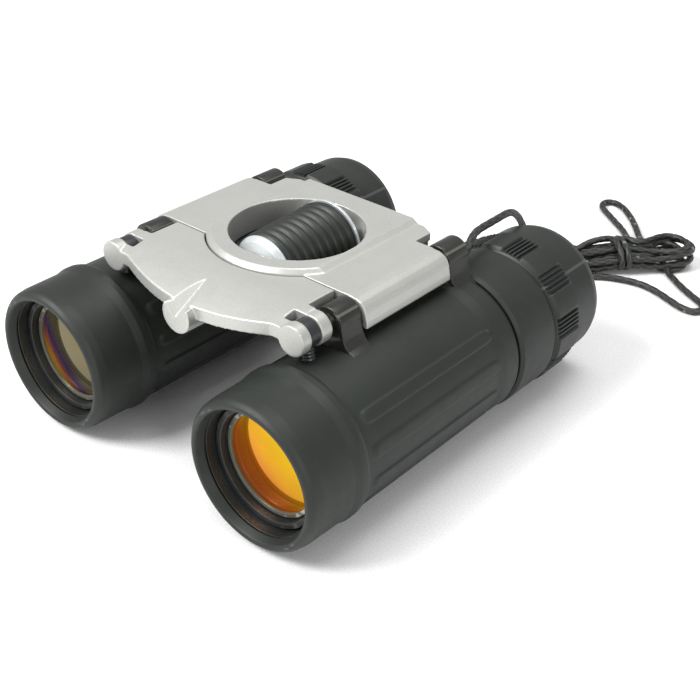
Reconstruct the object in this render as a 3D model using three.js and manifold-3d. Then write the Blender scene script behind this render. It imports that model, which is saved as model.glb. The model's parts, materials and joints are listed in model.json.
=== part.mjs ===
// Compact folding binoculars, 8 x 21 class, with a focus drum in a round well of the bridge.
// Millimetres, +Z up. The objectives point along -Y and the eyepieces along +Y.
// Left and right are the user's, who looks along -Y: the left barrel is at +X.
// The origin is on the surface that the barrels lie on, under the middle of the body.

import * as THREE from 'three';
import { mergeVertices } from 'three/addons/utils/BufferGeometryUtils.js';
import { ConvexGeometry } from 'three/addons/geometries/ConvexGeometry.js';
import Module from 'manifold-3d';

const wasm = await Module();
wasm.setup();

// ---------- driving dimensions ----------
const GAP = 0.3;                 // clearance left between touching pieces
const HALF_LENGTH = 50.0;         // hood rim to eyecup rim, halved
const AXIS_X = 29.35;            // barrel axis from the middle plane
const SEAT_R = 16.8;             // largest radius, which lies on the surface
const AXIS_Z = SEAT_R;
const OUTER_SIDES = 32;          // facets of the outer shells, one of them flat on the surface
const INNER_SIDES = 20;

const BORE_R = 13.3;             // barrel tube
const TUBE_R = 14.5;
const TUBE_FRONT = -47.7;
const TUBE_REAR = 15.8;
const SLEEVE_IN_R = TUBE_R + GAP;
const BODY_R = 15.9;             // rubber armour over the middle of the barrel
const HOOD_REAR = -34.3;

const HINGE_X = 25.24;           // hinge rods
const HINGE_Z = AXIS_Z + 20.62;
const ROD_R = 1.3;
const ROD_BORE_R = 1.65;
const ROD_FRONT = -33.2;
const ROD_REAR = 16.9;
const LUG_R = 3.45;              // strap of a barrel lug over the rod, a little outboard of it
const LUG_OFFSET = 0.7;
const LUG_INNER_R = 2.75;
const FRONT_LUG = [-24.0, -18.0];
const REAR_LUG = [10.4, 17.2];
const LUG_TAIL_R = 15.4;          // under the part of the rear lug that lies over the eyepiece ring

const WING_TOP = AXIS_Z + 24.0;  // bridge
const CROWN_TOP = AXIS_Z + 25.0;
const SHELL = 1.8;
const BRIDGE_FRONT = -17.65;
const WING_REAR = 9.4;
const BRIDGE_REAR = 16.3;
const WELL_Y = -4.4;
const WELL_R = 14.6;
const WELL_WALL_R = 16.2;
const COLLAR_TOP_R = 18.2;
const COLLAR_R = 19.2;
const CROWN_X = 15.0;
const CROWN_FOOT_X = 16.5;
const SKIRT_Z = AXIS_Z + 18.7;   // lower edge of the bridge's inner walls
const COVER_Z = AXIS_Z + 17.3;
const COVER_TOP = COVER_Z + 1.1;

const DRUM_Z = AXIS_Z + 18.6;    // focus drum and its screw
const DRUM_FRONT = -14.7;
const DRUM_REAR = 5.4;
const SLEEVE_FRONT_R = 8.3;
const SLEEVE_REAR_R = 9.0;
const CORE_R = 7.2;
const SCREW_R = 1.9;
const BUSH_R = 2.9;

const KNUCKLE_R = 3.26;          // focusing carrier in front of the bridge
const KNUCKLE_A = [-33.75, -31.2];
const KNUCKLE_B = [-28.3, -25.4];
const CARRIER_FLAT_Y = -25.0;    // the plate is flat behind this line and droops in front of it
const DROOP_R = 27.8;
const CARRIER_T = 2.8;
const NOSE_Y = -37.7;
const BOSS_R = 3.8;
const BOSS_FRONT = -39.5;
const LINK_Y = [-30.9, -28.6];
const POST_Y = -29.75;
const POST_R = 1.4;

const RUBBER = { color: 0x34373a, roughness: 0.75, metalness: 0 };
const BLACK = { color: 0x1c1e1f, roughness: 0.6, metalness: 0 };
const SILVER = { color: 0xc1c1b6, roughness: 0.42, metalness: 0.25 };
const STEEL = { color: 0xb8bcc0, roughness: 0.25, metalness: 1 };
const GLASS = { color: 0xaab4b8, roughness: 0.05, metalness: 0 };
const AMBER = { color: 0xd98a1c, roughness: 0.08, metalness: 0.3 };
const CORD = { color: 0x17181a, roughness: 0.9, metalness: 0 };

// ---------- solids ----------
function toSolid(geometry) {
  const bare = geometry.index ? geometry.toNonIndexed() : geometry.clone();
  bare.deleteAttribute('normal');
  bare.deleteAttribute('uv');
  const merged = mergeVertices(bare, 1e-4);
  return new wasm.Manifold(new wasm.Mesh({
    numProp: 3,
    vertProperties: new Float32Array(merged.attributes.position.array),
    triVerts: new Uint32Array(merged.index.array),
  }));
}

function toGeometry(solid) {
  const mesh = solid.getMesh();
  const geometry = new THREE.BufferGeometry();
  geometry.setAttribute('position', new THREE.BufferAttribute(mesh.vertProperties, 3));
  geometry.setIndex(new THREE.BufferAttribute(mesh.triVerts, 1));
  return geometry;
}

const join = (...solids) => solids.reduce((a, b) => a.add(b));
const cut = (solid, ...tools) => tools.reduce((a, b) => a.subtract(b), solid);

// A turned piece along Y. The profile is [radius, y]; flats face straight down.
function turned(profile, sides = INNER_SIDES) {
  const grow = 1 / Math.cos(Math.PI / sides);
  const points = profile.map(([r, y]) => new THREE.Vector2(r * grow, y));
  const onAxis = profile[0][0] === 0 && profile.at(-1)[0] === 0;
  if (!onAxis) points.push(points[0].clone());
  const area = points.reduce((sum, p, i) => {
    const q = points[(i + 1) % points.length];
    return sum + p.x * q.y - q.x * p.y;
  }, 0);
  if (area < 0) points.reverse();
  return new THREE.LatheGeometry(points, sides, Math.PI / sides);
}

const turnedSolid = (profile, sides) => toSolid(turned(profile, sides));
const rodY = (r, y0, y1, sides = INNER_SIDES) => turnedSolid([[0, y0], [r, y0], [r, y1], [0, y1]], sides);

// An outline in X and Z, pulled along Y from y0 to y1.
function alongY(outline, y0, y1) {
  const shape = new THREE.Shape(outline.map(([x, z]) => new THREE.Vector2(x, z)));
  const geometry = new THREE.ExtrudeGeometry(shape, { depth: y1 - y0, bevelEnabled: false });
  return toSolid(geometry.rotateX(Math.PI / 2).translate(0, y1, 0));
}

// An outline in X and Y, pulled along Z from z0 to z1.
function alongZ(outline, z0, z1) {
  const shape = new THREE.Shape(outline.map(([x, y]) => new THREE.Vector2(x, y)));
  const geometry = new THREE.ExtrudeGeometry(shape, { depth: z1 - z0, bevelEnabled: false });
  return toSolid(geometry.translate(0, 0, z0));
}

// An outline in Y and Z, pulled along X from x0 to x1.
function alongX(outline, x0, x1) {
  const shape = new THREE.Shape(outline.map(([y, z]) => new THREE.Vector2(y, z)));
  const geometry = new THREE.ExtrudeGeometry(shape, { depth: x1 - x0, bevelEnabled: false });
  geometry.rotateX(Math.PI / 2).rotateZ(Math.PI / 2);
  return toSolid(geometry.translate(x0, 0, 0));
}

const block = (x0, x1, y0, y1, z0, z1) => alongZ([[x0, y0], [x1, y0], [x1, y1], [x0, y1]], z0, z1);

function rodZ(r0, r1, x, y, z0, z1, sides = INNER_SIDES) {
  const geometry = new THREE.CylinderGeometry(r1, r0, z1 - z0, sides);
  return toSolid(geometry.rotateX(Math.PI / 2).translate(x, y, (z0 + z1) / 2));
}

function arc(cx, cz, r, from, to, steps) {
  const points = [];
  for (let i = 0; i <= steps; i++) {
    const a = THREE.MathUtils.degToRad(from + (to - from) * i / steps);
    points.push([cx + r * Math.sin(a), cz + r * Math.cos(a)]);
  }
  return points;
}

const mirrorX = (outline, side) => outline.map(([x, z]) => [side * x, z]);

const model = new THREE.Group();
model.name = 'binoculars';

function piece(parent, name, geometry, look) {
  const mesh = new THREE.Mesh(geometry, new THREE.MeshStandardMaterial(look));
  mesh.name = name;
  parent.add(mesh);
  return mesh;
}

// ---------- barrels ----------
// A barrel's own frame has its axis on Y. The hinge lies above it and inboard.
const HINGE_DX = HINGE_X - AXIS_X;
const HINGE_DZ = HINGE_Z - AXIS_Z;
const POST_TILT = Math.atan2(HINGE_DX, HINGE_DZ);

// The outline of a lug for the barrel at +X: a strap over the rod and a web down to the tube.
function lugOutline() {
  return [
    ...arc(HINGE_DX + LUG_OFFSET, HINGE_DZ, LUG_R, -40, 90, 9),
    [0.3, 19.2],
    [0.9, 17.5],
    [1.8, 16.3],
    [3.1, 15.3],
    [2.7, 13.65],
    [-6.3, 12.4],
    [-6.6, 15.5],
    [-6.45, 19.0],
    ...arc(HINGE_DX, HINGE_DZ, LUG_INNER_R, -115, -35, 4),
  ];
}

// A bar from the barrel axis outwards through the hinge rod, for the focus post and its slot.
function towardsHinge(solid, side) {
  return solid.rotate([0, THREE.MathUtils.radToDeg(side * POST_TILT), 0]);
}

function barrelTube(side) {
  const outer = rodY(TUBE_R, TUBE_FRONT, TUBE_REAR, OUTER_SIDES);
  const lugs = [FRONT_LUG, REAR_LUG].map(([y0, y1]) => alongY(mirrorX(lugOutline(), side), y0, y1));
  const bore = rodY(BORE_R, TUBE_FRONT - 1, TUBE_REAR + 1, OUTER_SIDES);
  const rodBore = rodY(ROD_BORE_R, -40, 40, 16).translate([side * HINGE_DX, 0, HINGE_DZ]);
  const postSlot = towardsHinge(block(-1.9, 1.9, -33.9, -28.0, 11, 16), side);
  const underTail = rodY(LUG_TAIL_R, TUBE_REAR, REAR_LUG[1] + 1, OUTER_SIDES);
  let tube = cut(join(outer, ...lugs), bore, rodBore, postSlot, underTail);
  if (side > 0) {
    // the strap's two ends are held in a slot in the rear lug, under the rod
    const slot = block(-5.9, -1.3, 13.2, 18, 16.75, 18.85);
    tube = cut(tube, slot);
  }
  return toGeometry(tube);
}

// The space that a lug takes out of the pieces laid over the tube.
function lugWindow(y0, y1, side) {
  const outline = mirrorX([[-6.95, 10], [-6.95, 18], [3.6, 18], [3.3, 13.4], [3.0, 10]], side);
  return alongY(outline, y0 - GAP, y1 + GAP);
}

function hood() {
  return turned([
    [SLEEVE_IN_R, HOOD_REAR], [16.5, HOOD_REAR], [SEAT_R, -35.4], [SEAT_R, -36.6], [16.4, -38.4],
    [16.2, -48.2], [15.8, -49.6], [14.9, -HALF_LENGTH], [14.2, -49.9],
    [BORE_R, TUBE_FRONT - GAP], [SLEEVE_IN_R, TUBE_FRONT - GAP],
  ], OUTER_SIDES);
}

function armour(side) {
  const sleeve = turnedSolid([
    [SLEEVE_IN_R, HOOD_REAR + GAP], [BODY_R, HOOD_REAR + GAP], [BODY_R, 8.0], [16.3, 10.8],
    [16.4, 14.6], [16.1, TUBE_REAR - GAP], [SLEEVE_IN_R, TUBE_REAR - GAP],
  ], OUTER_SIDES);
  const windows = [FRONT_LUG, REAR_LUG].map(([y0, y1]) => lugWindow(y0, y1, side));
  const slot = towardsHinge(block(-2.4, 2.4, -35, -27.6, 11, 18), side);
  return toGeometry(cut(sleeve, slot, ...windows));
}

function objectiveCell(side) {
  const cell = turnedSolid([
    [11.65, -45.5], [12.9, -45.5], [12.9, -27], [10.6, -27], [10.6, -39.0], [11.65, -39.0],
  ]);
  const hole = towardsHinge(rodZ(POST_R + GAP, POST_R + GAP, 0, POST_Y, 5, 14, 12), side);
  return toGeometry(cut(cell, hole));
}

const objectiveRing = () => turned([[10.45, -43.9], [11.35, -43.9], [11.35, -43.3], [10.45, -43.3]]);

// A lens with spherical faces: y of the rim and of the vertex, front and rear.
function lens(r, frontRim, frontVertex, rearRim, rearVertex, steps = 2) {
  const front = [];
  const rear = [];
  for (let i = 0; i <= steps; i++) {
    const share = i / steps;
    front.push([r * share, frontVertex + (frontRim - frontVertex) * share * share]);
    rear.push([r * share, rearVertex + (rearRim - rearVertex) * share * share]);
  }
  return turned([...front, ...rear.reverse()], INNER_SIDES);
}

// The black ring on the hinge rod and the threaded post that carries the objective cell.
function focusLink(side) {
  const ring = rodY(2.95, ...LINK_Y, 24).translate([side * HINGE_DX, 0, HINGE_DZ]);
  const bore = rodY(ROD_BORE_R, -40, -20, 16).translate([side * HINGE_DX, 0, HINGE_DZ]);
  const post = towardsHinge(rodZ(POST_R, POST_R, 0, POST_Y, 12, 19.2, 12), side);
  return toGeometry(cut(join(ring, post), bore));
}

const prismCage = () => turned([
  [8.6, -22], [13.0, -22], [13.0, 9.8], [11.9, 9.8], [11.9, -20.8], [8.6, -20.8],
]);

const PRISM_W = 6.5;
const entryPrism = () => alongX([[-18, -7.5], [-6.3, -7.5], [-12.5, 7.5], [-18, 7.5]], -PRISM_W, PRISM_W);
const roofPrism = () => alongX(
  [[-5.9, -7.5], [4.5, -7.5], [4.5, 4.0], [-2.5, 8.4], [-12.1, 7.5]], -PRISM_W, PRISM_W);
const CLIP = { out: 7.25, in: 6.85, y0: -9, y1: -5, foot: -3, under: 8.55, top: 8.95 };
const prismClip = () => alongY([
  [-CLIP.out, CLIP.foot], [-CLIP.in, CLIP.foot], [-CLIP.in, CLIP.under], [CLIP.in, CLIP.under],
  [CLIP.in, CLIP.foot], [CLIP.out, CLIP.foot], [CLIP.out, CLIP.top], [-CLIP.out, CLIP.top],
], CLIP.y0, CLIP.y1);

function eyepieceHousing(side) {
  const ring = turnedSolid([
    [12.0, 10.2], [13.0, 10.2], [13.0, 16.1], [15.9, 16.1], [16.6, 16.6], [SEAT_R, 17.4],
    [SEAT_R, 28.6], [16.5, 29.3], [12.0, 29.3],
  ], OUTER_SIDES);
  const spigot = rodY(LUG_TAIL_R - GAP, 9, 20, OUTER_SIDES);
  return toGeometry(cut(ring, cut(lugWindow(...REAR_LUG, side), spigot)));
}

const ocularTube = () => turned([
  [10.0, 20.5], [11.6, 20.5], [11.6, 45.0], [7.2, 45.0], [7.2, 44.2], [10.0, 44.2],
]);

const eyecup = () => turned([
  [12.0, 29.6], [16.1, 29.6], [16.7, 30.2], [16.7, 38.8], [16.1, 39.8], [15.9, 47.6],
  [15.3, 49.2], [14.4, HALF_LENGTH], [13.2, HALF_LENGTH], [12.5, 49.2], [12.0, 45.6],
], OUTER_SIDES);

function makeBarrel(side, name) {
  const group = new THREE.Group();
  group.position.set(side * AXIS_X, 0, AXIS_Z);
  piece(group, `${name}_barrel_tube`, barrelTube(side), BLACK);
  piece(group, `${name}_objective_hood`, hood(), RUBBER);
  piece(group, `${name}_armour_sleeve`, armour(side), RUBBER);
  piece(group, `${name}_objective_cell`, objectiveCell(side), BLACK);
  piece(group, `${name}_objective_ring`, objectiveRing(), BLACK);
  piece(group, `${name}_objective_lens`, lens(11.3, -42.95, -44.0, -39.9, -39.4), AMBER);
  piece(group, `${name}_focus_link`, focusLink(side), BLACK);
  piece(group, `${name}_prism_cage`, prismCage(), BLACK);
  piece(group, `${name}_entry_prism`, toGeometry(entryPrism()), GLASS);
  piece(group, `${name}_roof_prism`, toGeometry(roofPrism()), GLASS);
  piece(group, `${name}_prism_clip`, toGeometry(prismClip()), STEEL);
  piece(group, `${name}_eyepiece_housing`, eyepieceHousing(side), RUBBER);
  piece(group, `${name}_ocular_tube`, ocularTube(), BLACK);
  piece(group, `${name}_field_lens`, lens(9.6, 22.5, 21.2, 25.0, 25.4), GLASS);
  piece(group, `${name}_eye_lens`, lens(9.6, 38.6, 38.0, 41.2, 43.0), GLASS);
  piece(group, `${name}_eyecup`, eyecup(), RUBBER);
  model.add(group);
}

makeBarrel(1, 'left');
makeBarrel(-1, 'right');

// ---------- bridge ----------
const SCREW_PLACES = [[18.6, -12.5], [18.6, 6.5], [-18.6, -12.5], [-18.6, 6.5]];

// Half of a wing's section: the top, the rolled outer edge round the rod and the hanging lip.
function wingOutline() {
  const h = HINGE_Z;
  return [
    [0, WING_TOP], [HINGE_X + 0.6, WING_TOP],
    [HINGE_X + 2.2, h + 3.2], [HINGE_X + 3.4, h + 2.75], [HINGE_X + 4.3, h + 1.9],
    [HINGE_X + 4.8, h + 0.7], [HINGE_X + 5.15, h - 0.9], [HINGE_X + 5.25, h - 2.5],
    [HINGE_X + 4.0, h - 2.5], [HINGE_X + 3.7, h - 0.2], [HINGE_X + 3.1, h + 1.0],
    [HINGE_X + 2.2, WING_TOP - SHELL], [0, WING_TOP - SHELL],
  ];
}

function crownOutline() {
  return [
    [-CROWN_FOOT_X, WING_TOP - SHELL], [CROWN_FOOT_X, WING_TOP - SHELL], [CROWN_FOOT_X, WING_TOP],
    [CROWN_X, CROWN_TOP], [-CROWN_X, CROWN_TOP], [-CROWN_FOOT_X, WING_TOP],
  ];
}

const rearOutline = () => [
  [-21.0, WING_REAR - 1], [21.0, WING_REAR - 1], [21.0, 14.6], [18.0, BRIDGE_REAR],
  [-18.0, BRIDGE_REAR], [-21.0, 14.6],
];

function bridgePlate() {
  const wings = [1, -1].map((side) => alongY(mirrorX(wingOutline(), side), BRIDGE_FRONT, WING_REAR));
  const sleeves = [1, -1].map((side) =>
    rodY(2.7, BRIDGE_FRONT, WING_REAR).translate([side * HINGE_X, 0, HINGE_Z]));
  const rear = alongZ(rearOutline(), WING_TOP - SHELL, WING_TOP);
  const crown = alongY(crownOutline(), WELL_Y, BRIDGE_REAR);
  const collar = rodZ(COLLAR_R, COLLAR_TOP_R, 0, WELL_Y, WING_TOP, CROWN_TOP, 48);
  const collarFoot = rodZ(COLLAR_R, COLLAR_R, 0, WELL_Y, WING_TOP - SHELL, WING_TOP, 48);
  const frontHalf = alongY(crownOutline().map(([x, z]) => [x, z < WING_TOP ? z - 1 : z]), -30, WELL_Y);
  const bulge = join(collar, collarFoot).intersect(frontHalf);
  const wall = rodZ(WELL_WALL_R, WELL_WALL_R, 0, WELL_Y, SKIRT_Z, WING_TOP, 48);
  const skirts = [
    block(-20.3, 20.3, BRIDGE_REAR - 2.6, BRIDGE_REAR - 1.2, SKIRT_Z, WING_TOP - 1),
    ...[1, -1].map((side) => alongZ(
      mirrorX([[14.5, BRIDGE_FRONT], [23, BRIDGE_FRONT], [23, -16.2], [14.5, -16.2]], side),
      SKIRT_Z, WING_TOP - 1)),
  ];
  const posts = SCREW_PLACES.map(([x, y]) => rodZ(2.1, 2.1, x, y, SKIRT_Z, WING_TOP - 1, 16));
  const body = join(...wings, ...sleeves, rear, crown, bulge, wall, ...skirts, ...posts);
  const rods = [1, -1].map((side) => rodY(ROD_BORE_R, -40, 40, 16).translate([side * HINGE_X, 0, HINGE_Z]));
  const pilots = SCREW_PLACES.map(([x, y]) => rodZ(1.1, 1.1, x, y, SKIRT_Z - 1, WING_TOP - 1.6, 12));
  const well = rodZ(WELL_R, WELL_R, 0, WELL_Y, SKIRT_Z - 1, CROWN_TOP + 1, 48);
  const bearing = rodY(BUSH_R + GAP, -30, 20, 20).translate([0, 0, DRUM_Z]);
  return toGeometry(cut(body, well, bearing, ...rods, ...pilots));
}

function bottomCover() {
  const slab = alongZ([[-22, -17.3], [22, -17.3], [22, 10.2], [-22, 10.2]], COVER_Z, COVER_TOP);
  const bulge = rodZ(18.2, 18.2, 0, WELL_Y, COVER_Z, COVER_TOP, 40)
    .intersect(block(-20, 20, -30, WELL_Y, COVER_Z, COVER_TOP));
  const plate = join(slab, bulge);
  const window = block(-9.9, 9.9, -18.1, 6.6, 25, COVER_TOP + 1);
  const saddle = rodY(BUSH_R + GAP + 1.1, -22.4, 10.2, 24).translate([0, 0, DRUM_Z])
    .intersect(block(-6, 6, -30, 20, 25, COVER_TOP));
  const bearing = rodY(BUSH_R + GAP, -30, 20, 20).translate([0, 0, DRUM_Z]);
  const sinks = SCREW_PLACES.map(([x, y]) => rodZ(2.1, 1.3, x, y, COVER_Z, COVER_TOP, 16));
  const holes = SCREW_PLACES.map(([x, y]) => rodZ(1.3, 1.3, x, y, COVER_Z - 1, COVER_TOP + 1, 16));
  return toGeometry(cut(join(plate, saddle), window, bearing, ...sinks, ...holes));
}

function coverScrew([x, y]) {
  const head = rodZ(1.75, 0.9, x, y, COVER_Z + 0.05, COVER_TOP - 0.15, 12);
  const shank = rodZ(0.8, 0.8, x, y, COVER_Z + 0.2, SKIRT_Z + 2.6, 8);
  return toGeometry(join(head, shank));
}

piece(model, 'bridge_plate', bridgePlate(), SILVER);
piece(model, 'bottom_cover', bottomCover(), BLACK);
SCREW_PLACES.forEach((place, i) => piece(model, `cover_screw_${i + 1}`, coverScrew(place), STEEL));
for (const [side, name] of [[1, 'left'], [-1, 'right']]) {
  const rod = rodY(ROD_R, ROD_FRONT, ROD_REAR, 16).translate([side * HINGE_X, 0, HINGE_Z]);
  piece(model, `${name}_hinge_rod`, toGeometry(rod), STEEL);
}

// ---------- focusing carrier ----------
const droop = (y) => WING_TOP - (CARRIER_FLAT_Y - y) ** 2 / (2 * DROOP_R);

function carrierPlate() {
  const steps = 6;
  const top = [[BRIDGE_FRONT - 0.35, WING_TOP]];
  for (let i = 0; i <= steps; i++) {
    const y = CARRIER_FLAT_Y + (NOSE_Y - CARRIER_FLAT_Y) * i / steps;
    top.push([y, droop(y)]);
  }
  const below = top.map(([y, z]) => [y, z - CARRIER_T]).reverse();
  const slab = alongX([...top, ...below], -HINGE_X + 1.2, HINGE_X - 1.2);
  const front = [];
  for (let x = -26; x <= 26; x += 4) front.push([x, NOSE_Y + 4 * (x / 20.5) ** 2]);
  const trim = alongZ([...front.map(([x, y]) => [x, Math.min(y, KNUCKLE_A[0])]), [26, -10], [-26, -10]],
    30, 50);
  return { slab: slab.intersect(trim), top };
}

function slidePlate() {
  const { slab, top } = carrierPlate();
  const knuckles = [1, -1].flatMap((side) => [KNUCKLE_A, KNUCKLE_B].map(([y0, y1]) =>
    rodY(KNUCKLE_R, y0, y1, 32).translate([side * HINGE_X, 0, HINGE_Z])));
  const under = alongX([
    [BOSS_FRONT - 1, 25], [-25.5, 25], [-25.5, WING_TOP - 0.5],
    ...top.slice(1).map(([y, z]) => [y, z - 0.2]), [BOSS_FRONT - 1, droop(NOSE_Y) - 0.5],
  ], -6, 6);
  const boss = rodY(BOSS_R, BOSS_FRONT, -25.6, 32).translate([0, 0, DRUM_Z]).intersect(under);
  const body = join(slab, ...knuckles, boss);
  const linkSlots = [1, -1].map((side) =>
    block(...[side * 21.4, side * 30].sort((a, b) => a - b), KNUCKLE_A[1], KNUCKLE_B[0], 30, 50));
  const notches = [1, -1].map((side) =>
    block(...[side * 22.2, side * 30].sort((a, b) => a - b), KNUCKLE_B[1], -10, 30, 50));
  const collar = rodZ(COLLAR_R + 0.35, COLLAR_R + 0.35, 0, WELL_Y, 30, 50, 48);
  const rods = [1, -1].map((side) =>
    rodY(ROD_BORE_R, ROD_FRONT - 0.3, 0, 16).translate([side * HINGE_X, 0, HINGE_Z]));
  const thread = rodY(SCREW_R + GAP, -34.6, -20, 20).translate([0, 0, DRUM_Z]);
  const groove = toSolid(new ConvexGeometry([
    new THREE.Vector3(0, -29.3, WING_TOP + 0.1),
    new THREE.Vector3(0, -42, AXIS_Z + 17.0),
    new THREE.Vector3(-6.5, -42, AXIS_Z + 22.0),
    new THREE.Vector3(6.5, -42, AXIS_Z + 22.0),
    new THREE.Vector3(0, -42, AXIS_Z + 26),
  ]));
  return toGeometry(cut(body, ...linkSlots, ...notches, collar, ...rods, thread, groove));
}

piece(model, 'slide_plate', slidePlate(), SILVER);

// ---------- focus drum ----------
function focusDrum() {
  return turned([
    [SCREW_R + GAP, -15.9], [3.0, -17.3], [5.2, -16.8], [7.0, -15.9], [7.9, DRUM_FRONT],
    [CORE_R, DRUM_FRONT], [CORE_R, DRUM_REAR], [SLEEVE_REAR_R, DRUM_REAR], [SLEEVE_REAR_R, 6.1],
    [SCREW_R + GAP, 6.1],
  ], 32);
}

const drumSleeve = () => turned([
  [CORE_R + GAP, DRUM_FRONT + GAP], [SLEEVE_FRONT_R, DRUM_FRONT + GAP],
  [SLEEVE_REAR_R, DRUM_REAR - GAP], [CORE_R + GAP, DRUM_REAR - GAP],
], 32);

const focusScrew = () => turned([[0, -34.2], [1.4, -34.2], [SCREW_R, -33.6], [SCREW_R, 14.0], [0, 14.0]], 20);

const bush = (y0, y1) => turned([[SCREW_R + GAP, y0], [BUSH_R, y0], [BUSH_R, y1], [SCREW_R + GAP, y1]], 12);

const drumGroup = new THREE.Group();
drumGroup.position.set(0, 0, DRUM_Z);
piece(drumGroup, 'focus_drum', focusDrum(), SILVER);
piece(drumGroup, 'drum_sleeve', drumSleeve(), RUBBER);
piece(drumGroup, 'focus_screw', focusScrew(), STEEL);
piece(drumGroup, 'front_bush', bush(-20.9, -18.6), STEEL);
piece(drumGroup, 'rear_bush', bush(9.6, 12.2), STEEL);
piece(drumGroup, 'screw_collar', bush(12.5, 13.6), STEEL);
model.add(drumGroup);

// ---------- wrist strap, a cord doubled through the eyelet and folded into a hank ----------
const CORD_R = 0.9;
const CORD_LIE = CORD_R + 0.05;

// Both ends start in the slot of the left barrel's rear lug. One stands up in an arch over the
// eyepiece and the other lies along its inner side. Both drop to the surface behind the eyecup.
const LEAD_OUTER = [
  [26.8, 13.8, 34.6], [26.7, 17.2, 34.6], [26.4, 20.0, 35.2], [25.3, 23.2, 36.1],
  [24.1, 26.0, 36.6], [22.9, 30.0, 36.4], [22.2, 35.0, 35.9], [21.5, 40.5, 35.3],
  [20.6, 45.0, 34.5], [20.0, 48.4, 33.4], [19.6, 51.2, 31.6], [19.2, 53.6, 29.4],
  [18.9, 55.9, 26.6], [18.3, 59.0, 21.0], [17.4, 62.8, 13.4], [16.2, 67.0, 6.8],
  [14.6, 71.4, 2.8], [13.0, 75.0, 1.3], [11.6, 78.6, CORD_LIE],
];
const LEAD_INNER = [
  [24.7, 13.8, 34.6], [24.6, 17.0, 34.5], [23.7, 20.2, 33.8], [21.8, 23.0, 33.0],
  [19.4, 26.0, 31.6], [17.2, 29.6, 29.8], [15.6, 33.8, 28.1], [14.5, 38.6, 26.6],
  [14.1, 43.6, 25.3], [14.0, 48.0, 24.4], [14.1, 52.0, 22.8], [14.3, 55.4, 19.6],
  [14.4, 58.8, 15.0], [14.2, 62.8, 9.6], [13.4, 67.2, 5.0], [12.1, 71.6, 2.4],
  [10.8, 75.6, 1.2], [9.4, 79.2, CORD_LIE],
];

// The hank lies on the surface behind the eyecup, from its hidden end to its open loops.
const HANK_FROM = [11.0, 86.4];
const HANK_TO = [34.0, 110.9];
const HANK_HALF_WIDTH = 5.6;
const HANK_HEIGHT = 6.2;

// Two loops of the hank that have sprung out of it, both lying flat.
const LOOP_BACK = [
  [25.4, 112.0, 3.4], [21.4, 117.2, 1.7], [15.7, 124.9, CORD_LIE], [10.6, 130.4, CORD_LIE],
  [6.2, 134.0, CORD_LIE], [2.6, 134.9, CORD_LIE], [0.7, 132.6, CORD_LIE], [2.0, 129.6, CORD_LIE],
  [5.6, 126.6, CORD_LIE], [10.0, 123.2, CORD_LIE], [14.6, 119.6, CORD_LIE], [18.6, 115.0, 1.4],
  [22.4, 109.6, 3.2],
];
const LOOP_SIDE = [
  [25.0, 90.8, CORD_LIE], [28.6, 92.5, CORD_LIE], [34.0, 93.9, CORD_LIE], [39.2, 93.2, CORD_LIE],
  [44.4, 91.2, CORD_LIE], [49.0, 89.6, CORD_LIE], [52.2, 90.0, CORD_LIE], [53.2, 92.4, CORD_LIE],
  [51.6, 95.0, CORD_LIE], [47.8, 97.2, CORD_LIE], [43.8, 99.6, CORD_LIE], [40.4, 102.0, CORD_LIE],
  [37.6, 104.2, CORD_LIE],
];

function cordTube(points, steps) {
  const path = new THREE.CatmullRomCurve3(points.map((p) => new THREE.Vector3(...p)));
  const section = new THREE.Shape();
  for (let i = 0; i < 8; i++) {
    const a = Math.PI * (i + 0.5) / 4;
    const at = [CORD_R * Math.cos(a), CORD_R * Math.sin(a)];
    if (i === 0) section.moveTo(...at);
    else section.lineTo(...at);
  }
  section.closePath();
  return toGeometry(toSolid(new THREE.ExtrudeGeometry(section, {
    steps, extrudePath: path, bevelEnabled: false,
  })));
}

function strapHank() {
  const along = Math.atan2(HANK_TO[1] - HANK_FROM[1], HANK_TO[0] - HANK_FROM[0]);
  const outline = [];
  for (const [centre, turn] of [[HANK_TO, -90], [HANK_FROM, 90]]) {
    for (let i = 0; i <= 8; i++) {
      const a = along + THREE.MathUtils.degToRad(turn + 180 * i / 8);
      outline.push([centre[0] + HANK_HALF_WIDTH * Math.cos(a), centre[1] + HANK_HALF_WIDTH * Math.sin(a)]);
    }
  }
  return toGeometry(alongZ(outline, 0, HANK_HEIGHT));
}

piece(model, 'strap_lead_outer', cordTube(LEAD_OUTER, 24), CORD);
piece(model, 'strap_lead_inner', cordTube(LEAD_INNER, 24), CORD);
piece(model, 'strap_hank', strapHank(), CORD);
piece(model, 'strap_loop_back', cordTube(LOOP_BACK, 16), CORD);
piece(model, 'strap_loop_side', cordTube(LOOP_SIDE, 16), CORD);

export default model;
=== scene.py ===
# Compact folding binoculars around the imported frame. Shapes are written in millimetres in the row
# frame (objectives at -Y, eyepieces at +Y, the user's left barrel at +X) and become metres in
# mesh_object().

import json
import math

import bmesh
import bpy
import numpy as np
from mathutils import Matrix, Vector

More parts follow.
